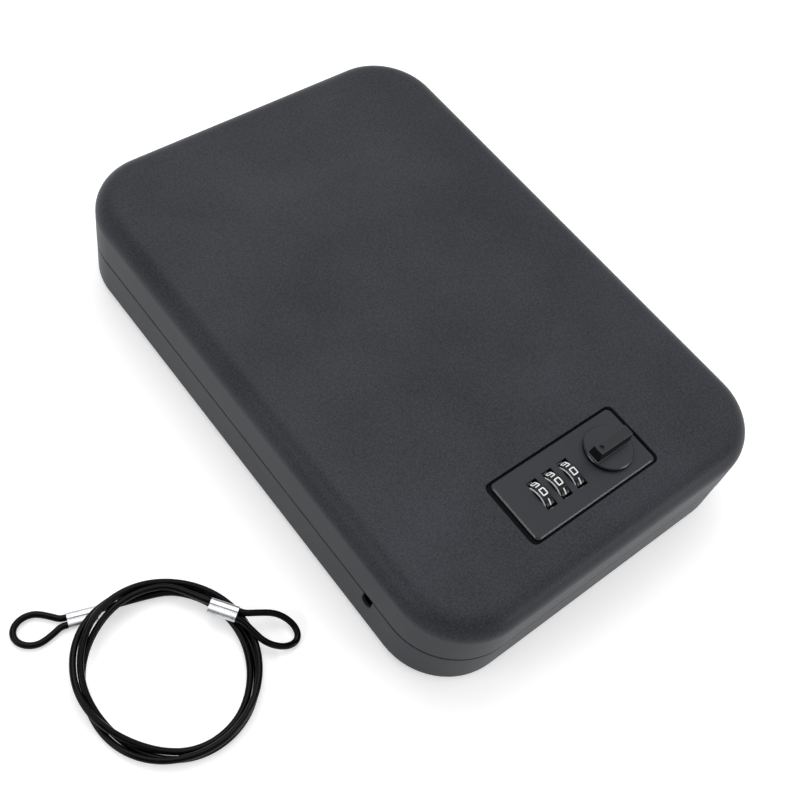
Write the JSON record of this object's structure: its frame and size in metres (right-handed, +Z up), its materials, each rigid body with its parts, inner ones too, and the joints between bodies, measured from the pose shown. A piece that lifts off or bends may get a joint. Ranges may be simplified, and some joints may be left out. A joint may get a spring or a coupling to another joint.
{
  "type": "cash box",
  "caption": "Flat rounded steel cash box with a hinged lid, number dials and a turn-knob latch set in the lid, foam liners and a coiled tether cable with looped ends.",
  "frame": {"origin": "under the middle of the box, on the surface it rests on", "axes": "+X to the right seen from the lock end, +Y from the lock to the hinge, +Z up"},
  "size_m": [0.269, 0.2411, 0.0524],
  "materials": {
    "powder_coat": "fine matt charcoal powder coat",
    "foam": "dark open-cell foam",
    "plated_steel": "zinc plated",
    "spring_steel": "bright spring steel",
    "lock_plastic": "satin dark grey",
    "knob_plastic": "satin black",
    "dial_plastic": "black with white digits",
    "sleeve_brass": "turned",
    "wire_rope": "black vinyl sleeve over steel wire rope",
    "ferrule_metal": "crimped, dull"
  },
  "bodies": {
    "base": {"base_shell": "powder_coat", "base_foam": "foam", "strike_bracket": "plated_steel", "hinge_leaf_base": "powder_coat", "hinge_pin": "plated_steel", "cable_coil": "wire_rope", "cable_eye_left": "wire_rope", "cable_eye_right": "wire_rope", "cable_ferrule_left": "ferrule_metal", "cable_ferrule_right": "ferrule_metal"},
    "lid": {"lid_shell": "powder_coat", "lid_foam": "foam", "hinge_leaf_lid": "powder_coat", "lock_body": "lock_plastic", "lock_cover": "plated_steel", "lock_cover_screws": "plated_steel", "lock_studs": "plated_steel", "lock_nuts": "plated_steel", "dial_axle": "plated_steel", "detent_spring": "spring_steel"},
    "dial_1": {"dial_wheel_1": "dial_plastic", "code_sleeve_1": "sleeve_brass"},
    "dial_2": {"dial_wheel_2": "dial_plastic", "code_sleeve_2": "sleeve_brass"},
    "dial_3": {"dial_wheel_3": "dial_plastic", "code_sleeve_3": "sleeve_brass"},
    "knob": {"knob": "knob_plastic", "knob_spindle": "plated_steel", "latch_cam": "plated_steel", "cam_washer": "spring_steel", "cam_nut": "plated_steel"}
  },
  "joints": [
    {"name": "lid_hinge", "type": "hinge", "parent": "base", "child": "lid", "pos_m": [0, 0.119, 0.02125], "axis": [-1, 0, 0], "range_deg": [0, 100]},
    {"name": "knob_turn", "type": "hinge", "parent": "lid", "child": "knob", "pos_m": [0.017, -0.0892, 0.0455], "axis": [0, 0, -1], "range_deg": [0, 90]},
    {"name": "dial_1_turn", "type": "hinge", "parent": "lid", "child": "dial_1", "pos_m": [-0.0164, -0.0892, 0.0402], "axis": [1, 0, 0], "continuous": true},
    {"name": "dial_2_turn", "type": "hinge", "parent": "lid", "child": "dial_2", "pos_m": [-0.00885, -0.0892, 0.0402], "axis": [1, 0, 0], "continuous": true},
    {"name": "dial_3_turn", "type": "hinge", "parent": "lid", "child": "dial_3", "pos_m": [-0.0013, -0.0892, 0.0402], "axis": [1, 0, 0], "continuous": true}
  ]
}
